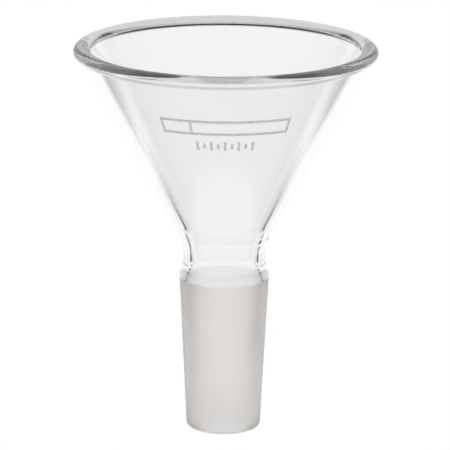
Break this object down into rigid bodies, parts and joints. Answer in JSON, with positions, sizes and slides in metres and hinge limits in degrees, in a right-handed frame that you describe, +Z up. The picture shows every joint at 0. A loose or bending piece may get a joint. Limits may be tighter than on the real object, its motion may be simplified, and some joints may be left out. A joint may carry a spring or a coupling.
{
  "type": "powder funnel",
  "caption": "Clear glass laboratory powder funnel: a wide straight cone with a heavy beaded rim, a pinched throat and a frosted tapered ground joint that plugs into a flask neck.",
  "frame": {"origin": "centre of the joint's tip, on the plane of its end face", "axes": "+Z up the funnel's axis towards the rim; -Y is the side that carries the enamel marks; +X to the right of it"},
  "size_m": [0.081, 0.081, 0.1054],
  "materials": {
    "clear_glass": "polished",
    "ground_glass": "matte",
    "enamel": "satin"
  },
  "bodies": {
    "root": {"rim_bead": "clear_glass", "funnel_cone": "clear_glass", "weld_ring": "clear_glass", "joint_neck": "clear_glass", "ground_taper": "ground_glass", "polished_tip": "ground_glass", "writing_frame": "enamel", "size_mark": "enamel"}
  },
  "joints": []
}
